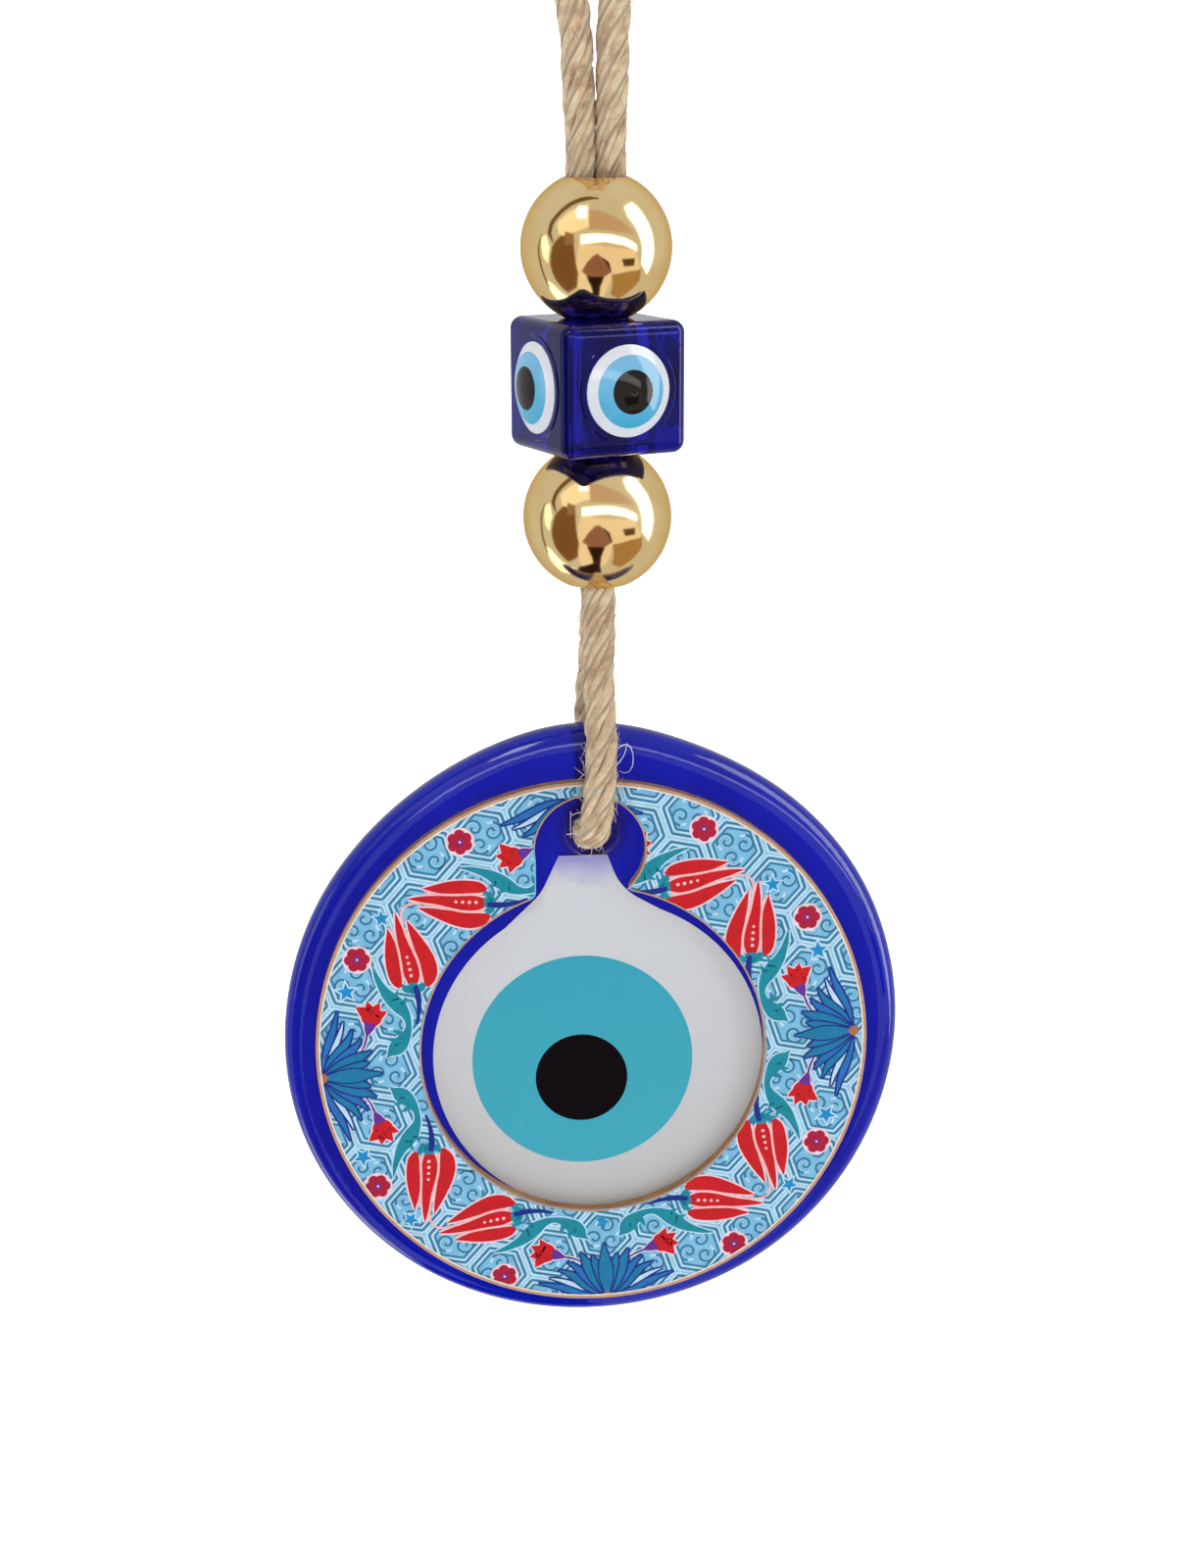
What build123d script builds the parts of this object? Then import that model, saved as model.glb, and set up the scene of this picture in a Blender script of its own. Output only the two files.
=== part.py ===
"""Evil eye wall ornament: a fused glass eye disc with a printed ring, hung on a doubled jute cord
under two gold beads and a glass cube with an eye on each side.

Millimetres, +Z up. The disc's front faces -Y. The origin is the hanging point, the inside top of
the cord's loop, where a hook or nail carries the ornament.
"""

from build123d import *
from math import cos, pi, radians, sin, sqrt, tan
import os

os.makedirs("parts", exist_ok=True)

# ---- cord ----
cord_d = 5.4  # one jute cord
bundle_d = 9.9  # its two strands squeezed side by side in the bores
tube_bend = 0.45  # an arc's share of its shorter run
largest_turn = 100  # degrees, the sharpest corner that a route may have

# ---- beads ----
bead_d = 24.0
bore_d = 10.0
bead_flat = 10.8  # from a bead's centre to the flat at its bore
bead_gap = 0.1  # running gap between neighbours in the stack
upper_bead_z = -60.0
bundle_above = 28.0  # the two strands part this far above the upper bead's centre
bundle_below = 11.4  # and this far below the lower bead's centre

# ---- glass cube ----
cube_width = 21.6
cube_height = 20.9
cube_edge = 2.0
cube_turn = 22.9  # degrees about Z, between the disc's front and a side of the cube

# ---- the eyes on the cube's sides: a low dome of three glasses ----
dome_r = 14.0
dome_height = 2.2
eye_white_r, eye_iris_r, eye_pupil_r = 7.2, 5.7, 3.45
eye_iris_floor, eye_pupil_floor = 0.4, 0.9
seat_r, seat_height = 8.4, 0.2  # the ring of blue glass drawn up round each eye

# ---- glass disc ----
disc_x, disc_z = -1.5, -191.9  # centre of the printed ring, which the disc's features are set from
disc_thickness = 8.0
rim_round = 3.6
crown = [(25, 53.2), (50, 53.5), (72, 53.8), (91, 54.8), (107, 53.7), (123, 52.5)]  # (degrees, radius)
flanks = [(148, 51.9), (175, 51.9), (200, 52.1), (230, 51.6)]  # the hand-drawn rim isn't quite round
foot = [(255, 51.0), (280, 50.7), (305, 51.0), (330, 51.5), (357, 52.3)]
hole_x, hole_z, hole_r = 0.2, 37.3, 3.2
hole_front_round, hole_back_round = 1.8, 3.6

# ---- the eye fused into the disc's front ----
drop_x, drop_z, drop_r = 1.1, -2.5, 28.0
neck_left = [(-16.0, 19.3), (-8.4, 26.7), (-5.4, 33.2)]  # from the drop's edge up to the neck's top
neck_right = [(2.7, 33.2), (4.9, 27.3), (12.9, 22.7)]  # and down again
neck_blend = 9.0
drop_depth, iris_depth, pupil_depth = 1.6, 1.0, 0.5
iris_x, iris_z, iris_r = -1.6, -3.1, 18.7
pupil_x, pupil_z, pupil_r = -1.8, -6.3, 7.8

# ---- printed ring and its adhesive ----
ring_r = 46.5
window_x, window_z, window_r = 0.1, -0.8, 29.0
notch_x, notch_z, notch_r = -0.3, 34.8, 9.15
notch_left = -9.3  # its left side runs straight down into the window
ring_thickness = 2.0
glue_thickness = 0.15
glue_inset = 1.2
corner_round = 1.6  # where the notch meets the window on the left
tip_round = 0.6  # and on the right

# ---- worked out from the above ----
cube_z = upper_bead_z - bead_flat - bead_gap - cube_height / 2
lower_bead_z = cube_z - cube_height / 2 - bead_gap - bead_flat
bundle_top_z = upper_bead_z + bundle_above
bundle_bottom_z = lower_bead_z - bundle_below
glass_front = -disc_thickness / 2
ring_back = glass_front - glue_thickness

# ---- the cord's free routes ----
# The top loop stands in the plane Y = 0: up one leg, over the hook and down the other.
hanging_route = [
    (-2.9, 0, bundle_top_z),
    (-2.9, 0, -26.5),
    (-4.9, 0, -17.0),
    (-6.4, 0, -7.0),
    (-5.6, 0, 2.7),
    (5.6, 0, 2.7),
    (5.8, 0, -7.0),
    (3.9, 0, -17.0),
    (2.6, 0, -26.0),
    (2.6, 0, bundle_top_z),
]
# The lower loop goes down the disc's front, back through its hole and up, with a slight lean.
disc_route = [
    (0, -2.75, bundle_bottom_z),
    (0, -2.75, -119.5),
    (-0.2, -5.7, -130.0),
    (0.1, -9.1, -141.5),
    (-1.3, -9.1, -154.8),
    (-1.3, 7.1, -154.8),
    (-0.9, 7.1, -138.3),
    (-0.5, 5.2, -129.0),
    (0, 2.75, -119.0),
    (0, 2.75, bundle_bottom_z),
]


def front_plane(depth):
    """The plane Y = depth with the disc's centre as its origin, seen from the front."""
    return Plane(origin=(disc_x, depth, disc_z), x_dir=(1, 0, 0), z_dir=(0, -1, 0))


def polar(angle, radius):
    return (radius * cos(radians(angle)), radius * sin(radians(angle)))


def corner_arcs(points):
    """The arc radius at each inner corner of a route, as large as its two runs allow."""
    vectors = [Vector(*p) for p in points]
    radii = []
    for before, here, after in zip(vectors, vectors[1:], vectors[2:]):
        turn = (here - before).get_angle(after - here)
        assert 0 < turn < largest_turn
        shorter = min((here - before).length, (after - here).length)
        radii.append(tube_bend * shorter / tan(radians(turn) / 2))
    return radii


def cord_tube(points, label):
    """A free cord as a plain tube along straight runs and tangent arcs."""
    radii = corner_arcs(points)
    with BuildPart() as tube:
        with BuildLine():
            path = FilletPolyline(*points, radius=radii)
        with BuildSketch(path ^ 0):
            Circle(cord_d / 2)
        sweep(path=path)
    tube.part.label = label
    full_volume = pi * (cord_d / 2) ** 2 * path.length
    print(label, "length", round(path.length, 1), "arc radii", [round(r, 1) for r in radii])
    print(label, "volume over section x length", round(tube.part.volume / full_volume, 4))
    return tube


def bead(height, label):
    """A gold bead: a ball with a plain bore and a narrow flat at each end of it."""
    with BuildPart(Plane.XY.offset(height)) as ball:
        Sphere(bead_d / 2)
        Cylinder(bore_d / 2, bead_d, mode=Mode.SUBTRACT)
        Box(bead_d, bead_d, 2 * bead_flat, mode=Mode.INTERSECT)
    ball.part.label = label
    return ball


def dome_at(radius):
    """Height of the cube eye's dome above the cube's side, at a radius from its middle."""
    return dome_height - dome_r + sqrt(dome_r**2 - radius**2)


def cube_side(number):
    """The plane of one side of the cube, at the side's middle, facing outwards."""
    angle = radians(cube_turn + 90 * number)
    out = Vector(sin(angle), -cos(angle), 0)
    return Plane(
        origin=out * (cube_width / 2) + Vector(0, 0, cube_z),
        x_dir=(cos(angle), sin(angle), 0),
        z_dir=out,
    )


def dome_layer(side, outer_r, inner_r, floor, inner_floor, label):
    """One glass of a cube eye: the dome out to outer_r, with a pocket for the next glass inside."""
    section = Plane(origin=side.origin, x_dir=side.x_dir, z_dir=-side.y_dir)
    with BuildPart() as layer:
        with BuildSketch(section):
            with BuildLine():
                Polyline((0, inner_floor), (0, floor), (outer_r, floor), (outer_r, dome_at(outer_r)))
                middle_r = (outer_r + inner_r) / 2
                ThreePointArc(
                    (outer_r, dome_at(outer_r)),
                    (middle_r, dome_at(middle_r)),
                    (inner_r, dome_at(inner_r)),
                )
                if inner_r > 0:
                    Polyline((inner_r, dome_at(inner_r)), (inner_r, inner_floor), (0, inner_floor))
            make_face()
        revolve(axis=Axis(side.origin, side.z_dir))
    layer.part.label = label
    return layer


# ---- jute cord: top loop, the doubled length in the beads, and the loop through the disc ----
hanging_loop = cord_tube(hanging_route, "hanging_loop")
disc_loop = cord_tube(disc_route, "disc_loop")

with BuildPart(Plane.XY.offset((bundle_top_z + bundle_bottom_z) / 2)) as bead_cord:
    Cylinder(bundle_d / 2, bundle_top_z - bundle_bottom_z)
bead_cord.part.label = "bead_cord"

# ---- beads ----
upper_bead = bead(upper_bead_z, "upper_gold_bead")
lower_bead = bead(lower_bead_z, "lower_gold_bead")

# ---- glass cube, with a low ring of its own glass round each eye ----
with BuildPart(Plane.XY.offset(cube_z).rotated((0, 0, cube_turn))) as glass_cube:
    Box(cube_width, cube_width, cube_height)
    fillet(glass_cube.edges(), cube_edge)
    for number in range(4):
        with BuildSketch(cube_side(number)):
            Circle(seat_r)
            Circle(eye_white_r, mode=Mode.SUBTRACT)
        extrude(amount=seat_height, taper=45)
    Cylinder(bore_d / 2, cube_height, mode=Mode.SUBTRACT)
glass_cube.part.label = "glass_cube"

# ---- the four eyes on the cube ----
sides = ["front_right", "rear_right", "rear_left", "front_left"]
cube_eyes = []
for number, side_name in enumerate(sides):
    side = cube_side(number)
    for glass, outer_r, inner_r, floor, inner_floor in (
        ("white", eye_white_r, eye_iris_r, 0, eye_iris_floor),
        ("iris", eye_iris_r, eye_pupil_r, eye_iris_floor, eye_pupil_floor),
        ("pupil", eye_pupil_r, 0, eye_pupil_floor, dome_height),
    ):
        label = f"cube_{glass}_{side_name}"
        cube_eyes.append(dome_layer(side, outer_r, inner_r, floor, inner_floor, label))

# ---- disc outlines ----
with BuildSketch(front_plane(0)) as disc_outline:
    with BuildLine():
        Spline(*[polar(*point) for point in crown + flanks + foot], periodic=True)
    make_face()

with BuildSketch(front_plane(glass_front)) as drop_outline:
    with Locations((drop_x, drop_z)):
        Circle(drop_r)
    with BuildLine():
        Polyline(*neck_left, *neck_right, close=True)
    make_face()
    corners = drop_outline.vertices()
    shoulders = [corners.sort_by_distance(point)[0] for point in (neck_left[1], neck_right[1])]
    fillet(shoulders, neck_blend)

# ---- the disc's glasses: cobalt body, white drop, light blue iris and black pupil ----
with BuildPart() as glass_disc:
    extrude(disc_outline.sketch, amount=disc_thickness / 2, both=True)
    fillet(glass_disc.faces().filter_by(Axis.Y).edges(), rim_round)
    with BuildSketch(front_plane(0)):
        with Locations((hole_x, hole_z)):
            Circle(hole_r)
    extrude(amount=disc_thickness, both=True, mode=Mode.SUBTRACT)
    for side, radius in ((-1, hole_front_round), (1, hole_back_round)):
        mouth = (disc_x + hole_x, side * disc_thickness / 2, disc_z + hole_z)
        fillet(glass_disc.edges().filter_by(GeomType.CIRCLE).sort_by_distance(mouth)[0], radius)

with BuildPart() as white_drop:
    extrude(drop_outline.sketch, amount=-drop_depth)
    add(glass_disc.part, mode=Mode.INTERSECT)
    with BuildSketch(front_plane(glass_front)):
        with Locations((iris_x, iris_z)):
            Circle(iris_r)
    extrude(amount=-iris_depth, mode=Mode.SUBTRACT)
white_drop.part.label = "white_drop"

with BuildPart() as iris:
    with BuildSketch(front_plane(glass_front)):
        with Locations((iris_x, iris_z)):
            Circle(iris_r)
    extrude(amount=-iris_depth)
    with BuildSketch(front_plane(glass_front)):
        with Locations((pupil_x, pupil_z)):
            Circle(pupil_r)
    extrude(amount=-pupil_depth, mode=Mode.SUBTRACT)
iris.part.label = "iris"

with BuildPart() as pupil:
    with BuildSketch(front_plane(glass_front)):
        with Locations((pupil_x, pupil_z)):
            Circle(pupil_r)
    extrude(amount=-pupil_depth)
pupil.part.label = "pupil"

with BuildPart() as cobalt_disc:
    add(glass_disc.part)
    extrude(drop_outline.sketch, amount=-drop_depth, mode=Mode.SUBTRACT)
cobalt_disc.part.label = "glass_disc"


def ring_plate(back, thickness, inset, label):
    """A flat ring with its off-centre window and the notch that clears the disc's hole."""
    with BuildPart() as plate:
        with BuildSketch(front_plane(back)) as outline:
            Circle(ring_r - inset)
            with Locations((window_x, window_z)):
                Circle(window_r + inset, mode=Mode.SUBTRACT)
            with Locations((notch_x, notch_z)):
                Circle(notch_r, mode=Mode.SUBTRACT)
            with Locations((notch_left, notch_z)):
                Rectangle(notch_r, notch_r + tip_round, align=(Align.MIN, Align.MAX), mode=Mode.SUBTRACT)
            if inset == 0:
                for side, radius in ((notch_left, corner_round), (notch_x + notch_r, tip_round)):
                    meeting = outline.vertices().sort_by_distance((side, window_z + window_r))[0]
                    fillet(meeting, radius)
        extrude(amount=thickness)
    plate.part.label = label
    return plate


# ---- printed ring and the adhesive sheet under it ----
ring_glue = ring_plate(glass_front, glue_thickness, glue_inset, "ring_adhesive")
printed_ring = ring_plate(ring_back, ring_thickness, 0, "printed_ring")

pieces = [hanging_loop, bead_cord, disc_loop, upper_bead, lower_bead, glass_cube, *cube_eyes]
pieces += [cobalt_disc, white_drop, iris, pupil, ring_glue, printed_ring]
for piece in pieces:
    export_step(piece.part, f"parts/{piece.part.label}.step")
    print(piece.part.label, round(piece.part.volume, 1), "mm3")
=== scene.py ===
import bpy
import random
from math import cos, hypot, pi, radians, sin, sqrt
from mathutils import Matrix, Vector


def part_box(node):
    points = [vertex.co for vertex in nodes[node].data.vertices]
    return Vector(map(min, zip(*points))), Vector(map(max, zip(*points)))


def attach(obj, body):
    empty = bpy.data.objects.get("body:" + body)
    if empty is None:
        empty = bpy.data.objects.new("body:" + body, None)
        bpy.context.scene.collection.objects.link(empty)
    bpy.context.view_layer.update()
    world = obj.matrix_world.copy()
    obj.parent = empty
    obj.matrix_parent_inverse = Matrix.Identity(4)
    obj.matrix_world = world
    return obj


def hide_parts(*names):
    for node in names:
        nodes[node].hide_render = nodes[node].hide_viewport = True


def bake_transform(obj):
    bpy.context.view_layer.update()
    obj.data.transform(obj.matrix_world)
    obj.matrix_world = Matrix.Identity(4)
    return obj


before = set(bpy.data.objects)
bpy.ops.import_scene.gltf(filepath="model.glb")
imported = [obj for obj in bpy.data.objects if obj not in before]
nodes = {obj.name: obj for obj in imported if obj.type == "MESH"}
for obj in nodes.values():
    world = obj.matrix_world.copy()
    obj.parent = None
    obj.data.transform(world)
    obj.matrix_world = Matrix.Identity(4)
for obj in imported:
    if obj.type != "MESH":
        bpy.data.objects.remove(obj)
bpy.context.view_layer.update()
scene = bpy.context.scene
scene.view_settings.view_transform = "Standard"
chance = random.Random(7)
mm, metre = 0.001, 1000  # a millimetre in metres, and a metre in millimetres


# ---------------------------------------------------------------- helpers
def colour(r, g, b):
    """A linear colour from 0-255 sRGB values."""
    shares = (r / 255, g / 255, b / 255)
    return tuple((v / 12.92 if v <= 0.04045 else ((v + 0.055) / 1.055) ** 2.4) for v in shares) + (1.0,)


def link(obj):
    scene.collection.objects.link(obj)
    return obj


def mesh_object(name, verts, faces, material, smooth=True, uvs=None):
    """A mesh from vertices in millimetres, as an object in metres."""
    data = bpy.data.meshes.new(name)
    data.from_pydata([tuple(c * mm for c in v) for v in verts], [], faces)
    data.materials.append(material)
    if smooth:
        data.shade_smooth()
    else:
        data.shade_flat()
    if uvs:
        layer = data.uv_layers.new(name="along")
        for loop in data.loops:
            layer.data[loop.index].uv = uvs[loop.vertex_index]
    return link(bpy.data.objects.new(name, data))


class Nodes:
    """A material, and short ways to write its nodes."""

    def __init__(self, name):
        self.material = bpy.data.materials.new(name)
        self.material.use_nodes = True
        self.tree = self.material.node_tree
        self.shader = self.tree.nodes["Principled BSDF"]

    def set(self, **values):
        """Values for the shader's own sockets, named in lower case with underscores."""
        for key, value in values.items():
            self.shader.inputs[key.replace("_", " ").title().replace("Ior", "IOR")].default_value = value
        return self

    def add(self, kind, inputs=None, **settings):
        """A new node; each input is a value or the socket that feeds it."""
        node = self.tree.nodes.new("ShaderNode" + kind)
        for key, value in settings.items():
            setattr(node, key, value)
        for key, value in (inputs or {}).items():
            if isinstance(value, bpy.types.NodeSocket):
                self.tree.links.new(value, node.inputs[key])
            else:
                node.inputs[key].default_value = value
        return node

    def place(self, scale=(1, 1, 1)):
        """The object's own coordinates, scaled."""
        here = self.add("TexCoord").outputs["Object"]
        return self.add("Mapping", {"Vector": here, "Scale": scale}).outputs["Vector"]

    def noise(self, vector, scale, detail=3.0, rough=0.5):
        inputs = {"Vector": vector, "Scale": scale, "Detail": detail, "Roughness": rough}
        return self.add("TexNoise", inputs).outputs["Fac"]

    def between(self, factor, first, second):
        """A colour that goes from the first to the second as factor goes from 0 to 1."""
        node = self.add("Mix", {"Factor": factor}, data_type="RGBA")
        for socket, value in zip([i for i in node.inputs if i.type == "RGBA"], (first, second)):
            self.tree.links.new(value, socket)
        return next(o for o in node.outputs if o.type == "RGBA")

    def remap(self, value, low=0.0, high=1.0, to_low=0.0, to_high=1.0):
        inputs = {"Value": value, "From Min": low, "From Max": high, "To Min": to_low, "To Max": to_high}
        return self.add("MapRange", inputs).outputs["Result"]

    def ramp(self, factor, *stops):
        """stops are (position, colour)."""
        node = self.add("ValToRGB", {"Fac": factor})
        while len(node.color_ramp.elements) < len(stops):
            node.color_ramp.elements.new(0.5)
        for element, (at, value) in zip(node.color_ramp.elements, stops):
            element.position, element.color = at, value
        return node.outputs["Color"]

    def into(self, socket, value):
        """Feeds one of the shader's sockets."""
        self.tree.links.new(value, self.shader.inputs[socket])
        return self

    def bump(self, height, strength, distance):
        node = self.add("Bump", {"Height": height, "Strength": strength, "Distance": distance})
        return self.into("Normal", node.outputs["Normal"])


def paint(name, material):
    """Gives a carried-over CAD node its material."""
    slots = nodes[name].data.materials
    slots.clear()
    slots.append(material)


# ---------------------------------------------------------------- camera and studio
eye = Vector((-0.02804, -0.41235, -0.0322))
heading, pitch, roll = radians(3.70), radians(15.6), radians(-0.267)
focal_mm, sensor_mm = 59.24, 36.0
forward = Vector((sin(heading) * cos(pitch), cos(heading) * cos(pitch), -sin(pitch)))
level_right = forward.cross(Vector((0, 0, 1))).normalized()
level_up = level_right.cross(forward)
right = level_right * cos(roll) + level_up * sin(roll)
up = level_up * cos(roll) - level_right * sin(roll)
lens = bpy.data.cameras.new("camera")
lens.lens = focal_mm
lens.sensor_width = sensor_mm
lens.clip_start = 0.01
camera = link(bpy.data.objects.new("camera", lens))
camera.matrix_world = Matrix.Translation(eye) @ Matrix((right, up, -forward)).transposed().to_4x4()
scene.camera = camera

world = bpy.data.worlds.new("studio")
scene.world = world
world.use_nodes = True
sky = world.node_tree
light_path = sky.nodes.new("ShaderNodeLightPath")
lit, reflected = 0.36, 0.66  # what gloss reflects is brighter than what lights the piece
brightness = sky.nodes.new("ShaderNodeMapRange")
brightness.inputs["To Min"].default_value = lit
brightness.inputs["To Max"].default_value = reflected
sky.links.new(light_path.outputs["Is Glossy Ray"], brightness.inputs["Value"])
sky.links.new(brightness.outputs["Result"], sky.nodes["Background"].inputs["Strength"])
sky.nodes["Background"].inputs["Color"].default_value = (1.0, 1.0, 1.0, 1.0)
middle = Vector((0, 0, -0.14))  # what the lights are aimed at


def facing(place, target):
    """The matrix of a flat thing at place whose +Z side faces target."""
    turn = (target - place).to_track_quat("Z", "Y").to_matrix().to_4x4()
    return Matrix.Translation(place) @ turn


def glowing(name, shade, glow, base=(0.0, 0.0, 0.0, 1.0)):
    """A matt material that gives off its own light."""
    paper = Nodes(name).set(roughness=0.9, base_color=base, emission_color=shade, emission_strength=glow)
    return paper.set(specular_ior_level=0.0).material


def card(name, width, height, matrix, glow):
    """A plain pale stage card, in metres, which mirrors don't show."""
    pale = (0.9, 0.9, 0.9, 1.0)
    w, h = width / 2 * metre, height / 2 * metre
    corners = [(-w, -h, 0), (w, -h, 0), (w, h, 0), (-w, h, 0)]
    obj = mesh_object(name, corners, [(0, 1, 2, 3)], glowing(name, pale, glow, pale))
    obj.matrix_world = matrix
    obj.visible_glossy = False


def soft_light(name, place, width, height, power):
    """A rectangular light that points at the middle of the piece and doesn't show in mirrors."""
    data = bpy.data.lights.new(name, "AREA")
    data.shape = "RECTANGLE"
    data.size = width
    data.size_y = height
    data.energy = power
    lamp = link(bpy.data.objects.new(name, data))
    lamp.matrix_world = facing(Vector(place), middle) @ Matrix.Rotation(pi, 4, "X")
    lamp.visible_glossy = False


card("floor", 7, 7, Matrix.Translation((0, 0.5, -0.62)), 0.85)
card("backdrop", 7, 4, facing(Vector((0, 1.7, 0.9)), Vector((0, 0, 0.9))), 0.95)
soft_light("key_light", (-0.5, -0.75, 0.5), 0.35, 0.35, 2.6)
soft_light("fill_light", (0.85, -0.45, 0.05), 0.2, 0.6, 1.8)
soft_light("top_light", (0.15, -0.3, 0.9), 0.6, 0.15, 1.6)

# Studio flags: dark and bright shapes that only mirrors and glass show. Each outline is given as it
# appears in the upper gold bead, in bead radii right of and above its middle.
bead = Vector([sum(corner) / 2 for corner in zip(*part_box("upper_gold_bead"))])
to_eye = (eye - bead).normalized()
bead_right = up.cross(to_eye).normalized()
bead_up = to_eye.cross(bead_right)


def mirrored(x, y):
    """The direction that shows at (x, y) in a mirror ball."""
    n = Vector((x, y, sqrt(max(1 - x * x - y * y, 0.0))))
    r = 2 * n.z * n - Vector((0, 0, 1))
    return bead_right * r.x + bead_up * r.y + to_eye * r.z


def band(points, half):
    """The outline of a narrow band along points, with pointed ends."""
    left, back = [], []
    for i, (x, y) in enumerate(points):
        (x0, y0), (x1, y1) = points[max(i - 1, 0)], points[min(i + 1, len(points) - 1)]
        size = hypot(x1 - x0, y1 - y0)
        thin = half * (0.35 if i in (0, len(points) - 1) else 1)
        nx, ny = -(y1 - y0) / size * thin, (x1 - x0) / size * thin
        left.append((x + nx, y + ny))
        back.append((x - nx, y - ny))
    return left + back[::-1]


flags = (  # name, glow, shade, outline; the later ones stand in front
    ("room", 1.0, (250, 238, 225),
     [(-.22, .04), (.5, -.04), (.57, -.3), (.2, -.34), (.1, -.62), (-.2, -.62)]),
    ("ceiling_left", 1.2, (250, 240, 225),
     [(-.5, .3), (-.3, .47), (-.1, .54), (-.1, .26), (-.26, .2), (-.46, .12)]),
    ("ceiling", 1.0, (204, 180, 168),
     [(-.1, .47), (.1, .44), (.32, .34), (.5, .16), (.3, .19), (-.1, .22)]),
    ("window_right", 6.0, (255, 250, 240),
     [(.36, .5), (.46, .56), (.61, .4), (.72, .16), (.73, -.12), (.66, -.33), (.59, -.2), (.59, .05),
      (.52, .24), (.41, .38)]),
    ("window_middle", 4.5, (255, 250, 240),
     [(-.2, .15), (.18, .16), (.38, .11), (.52, .03), (.53, -.05), (.36, .03), (.1, .07), (-.2, .04)]),
    ("window_left", 2.0, (255, 248, 230),
     [(-.7, .12), (-.64, .16), (-.6, 0), (-.62, -.2), (-.68, -.12)]),
    ("window_low", 2.6, (255, 248, 235),
     [(-.64, -.42), (-.57, -.46), (-.42, -.6), (-.28, -.66), (-.27, -.74), (-.43, -.73), (-.56, -.6)]),
    ("lamp", 9.0, (255, 252, 246),
     [(-.25, .38), (-.14, .37), (-.13, .5), (-.23, .51)]),
    ("door", 1.0, (126, 92, 58),
     [(-.5, .1), (-.4, .2), (-.29, .17), (-.28, -.05), (-.23, -.33), (-.24, -.5), (-.36, -.58),
      (-.52, -.42), (-.59, -.22), (-.56, .02)]),
    ("door_top", 1.0, (156, 122, 94),
     [(-.4, .2), (-.29, .17), (-.28, .05), (-.4, .02)]),
    ("arch", 1.0, (113, 84, 44),
     band([(.03, .61), (-.14, .61), (-.3, .56), (-.45, .45), (-.57, .3), (-.6, .18), (-.55, .06)], .026)),
    ("frame", 1.0, (140, 104, 66),
     band([(-.7, .16), (-.74, 0), (-.72, -.2), (-.65, -.42), (-.56, -.58)], .013)),
    ("table", 1.0, (176, 144, 100),
     [(.2, -.34), (.42, -.3), (.58, -.27), (.56, -.42), (.44, -.55), (.28, -.65), (.18, -.6), (.21, -.45)]),
    ("stool", 1.0, (98, 68, 30),
     [(.33, -.15), (.5, -.14), (.49, -.23), (.36, -.24)]),
    ("curtain", 1.0, (150, 110, 100),
     [(-.19, -.31), (-.12, -.19), (-.04, -.1), (.02, -.08), (.09, -.14), (.17, -.22), (.2, -.31),
      (.1, -.37), (-.1, -.37)]),
    ("curtain_edge", 1.0, (60, 40, 30),
     band([(.08, -.13), (.15, -.2), (.19, -.31)], .02)),
    ("tripod", 1.0, (46, 28, 24),
     [(-.13, -.36), (.1, -.36), (.05, -.5), (.04, -.62), (.06, -.76), (-.26, -.76), (-.22, -.63),
      (-.05, -.58), (-.07, -.5)]),
)
first_flag, flag_gap = 1.3, 0.015  # metres from the bead to the first flag, and from each to the next
for order, (name, glow, shade, outline) in enumerate(flags):
    ways = [mirrored(x, y) for x, y in outline]
    mean = sum(ways, Vector()).normalized()
    reach = first_flag - flag_gap * order
    spots = [(bead + way * (reach / way.dot(mean))) * metre for way in ways]
    light = glowing("flag_" + name, colour(*shade), glow)
    flag = mesh_object("flag_" + name, spots, [tuple(range(len(spots)))], light)
    flag.visible_camera = flag.visible_diffuse = flag.visible_transmission = flag.visible_shadow = False

# ---------------------------------------------------------------- jute cord
cord_r = 2.7
ply_count, ply_pitch, ply_ring, ply_r = 5, 27.0, 1.62, 1.12
ply_flat, ply_wide = 0.92, 1.12  # the plies' sections, pressed against each other
hanging_route = [  # metres, as in the part's source
    (-0.0029, 0, -0.032), (-0.0029, 0, -0.0265), (-0.0049, 0, -0.017), (-0.0064, 0, -0.007),
    (-0.0056, 0, 0.0027), (0.0056, 0, 0.0027), (0.0058, 0, -0.007), (0.0039, 0, -0.017),
    (0.0026, 0, -0.026), (0.0026, 0, -0.032),
]
disc_route = [
    (0, -0.00275, -0.1141), (0, -0.00275, -0.1195), (-0.0002, -0.0057, -0.130), (0.0001, -0.0091, -0.1415),
    (-0.0013, -0.0091, -0.1548), (-0.0013, 0.0071, -0.1548), (-0.0009, 0.0071, -0.1383),
    (-0.0005, 0.0052, -0.129), (0, 0.00275, -0.119), (0, 0.00275, -0.1141),
]
closest = 0.12  # points of a line that are nearer than this to the one before are left out


def centreline(name, route):
    """Points read from the route's NURBS spline, in millimetres."""
    data = bpy.data.curves.new(name, "CURVE")
    data.dimensions = "3D"
    data.resolution_u = 24
    spline = data.splines.new("NURBS")
    spline.points.add(len(route) - 1)
    for point, at in zip(spline.points, route):
        point.co = (*at, 1.0)
    spline.order_u = 3
    spline.use_endpoint_u = True
    guide = bpy.data.objects.new(name, data)
    line = bpy.data.meshes.new_from_object(guide)
    points = []
    for vertex in line.vertices:
        point = vertex.co * metre
        if not points or (point - points[-1]).length > closest:
            points.append(point)
    bpy.data.objects.remove(guide)
    bpy.data.meshes.remove(line)
    return points


def ease(t):
    """A smooth step from 0 to 1."""
    t = min(max(t, 0.0), 1.0)
    return t * t * (3 - 2 * t)


bundle_top, bundle_low, join_z = -32.0, -114.1, -60.0
pressed = 2.3  # how far each strand's centre is from the beads' axis inside the bores


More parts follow.
